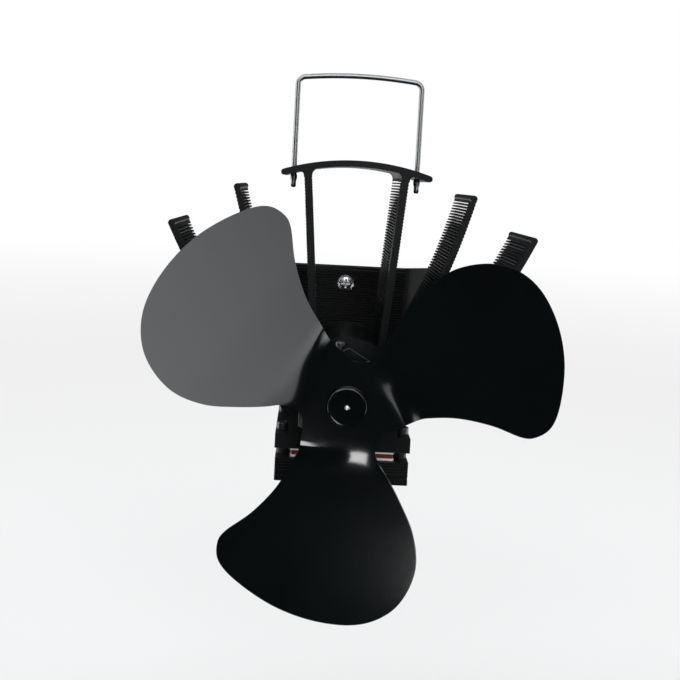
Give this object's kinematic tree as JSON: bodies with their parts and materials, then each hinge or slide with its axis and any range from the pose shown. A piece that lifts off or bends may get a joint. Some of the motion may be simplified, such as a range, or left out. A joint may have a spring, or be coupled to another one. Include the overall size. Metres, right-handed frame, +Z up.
{
  "type": "stove pipe fan",
  "caption": "Magnet-held flue pipe fan: a thermoelectric module drives a motor with a twisted three-bladed fan in front of a comb-finned heat sink, with a wire bail on top.",
  "frame": {"origin": "on the flue pipe's front line, at the height of the motor axis", "axes": "+X to the right as seen from the front, +Y from the fan back to the pipe, +Z up along the pipe"},
  "size_m": [0.1554, 0.1113, 0.2066],
  "materials": {
    "anodised": "black anodised, satin",
    "satin_black": "smooth satin black paint",
    "black_screw": "black oxide",
    "bright_wire": "polished wire",
    "zinc_plate": "zinc plated",
    "nickel_plate": "nickel plated magnet",
    "bronze_metal": "sintered bronze",
    "copper_wound": "varnished copper and iron",
    "black_plastic": "matte moulded",
    "white_ceramic": "plain alumina",
    "red_silicone": "dark red silicone",
    "graphite": "soft graphite",
    "ferrite": "dark ferrite"
  },
  "bodies": {
    "base": {"heat_sink": "anodised", "hot_bracket": "anodised", "saddle_plate": "anodised", "motor_housing": "anodised", "bracket_screw_upper": "zinc_plate", "bracket_screw_lower": "zinc_plate", "motor_can": "zinc_plate", "motor_set_screw": "black_screw", "motor_end_cap": "black_plastic", "front_bearing": "bronze_metal", "rear_bearing": "bronze_metal", "motor_terminal_left": "bronze_metal", "motor_terminal_right": "bronze_metal", "motor_brush_left": "graphite", "motor_brush_right": "graphite", "field_magnet_upper": "ferrite", "field_magnet_lower": "ferrite", "lead_red": "red_silicone", "lead_black": "black_plastic", "module_cold_plate": "white_ceramic", "module_hot_plate": "white_ceramic", "module_seal": "red_silicone", "module_pellets": "graphite", "upper_graphite_sheet": "graphite", "lower_graphite_sheet": "graphite", "clamp_screw_front_left": "black_screw", "clamp_bush_front_left": "black_plastic", "clamp_screw_front_right": "black_screw", "clamp_bush_front_right": "black_plastic", "clamp_screw_rear_left": "black_screw", "clamp_bush_rear_left": "black_plastic", "clamp_screw_rear_right": "black_screw", "clamp_bush_rear_right": "black_plastic", "saddle_magnet_upper_left": "nickel_plate", "magnet_screw_upper_left": "zinc_plate", "saddle_magnet_upper_right": "nickel_plate", "magnet_screw_upper_right": "zinc_plate", "saddle_magnet_lower_left": "nickel_plate", "magnet_screw_lower_left": "zinc_plate", "saddle_magnet_lower_right": "nickel_plate", "magnet_screw_lower_right": "zinc_plate"},
    "fan": {"fan_blades": "satin_black", "hub_boss": "satin_black", "motor_shaft": "zinc_plate", "armature": "copper_wound", "commutator": "copper_wound"},
    "handle": {"bail_handle": "bright_wire"}
  },
  "joints": [
    {"name": "fan_spin", "type": "hinge", "parent": "base", "child": "fan", "pos_m": [0, -0.0876, 0], "axis": [0, 1, 0], "continuous": true},
    {"name": "handle_slide", "type": "slide", "parent": "base", "child": "handle", "axis": [0, 0, 1], "range_m": [-0.028, 0]}
  ]
}
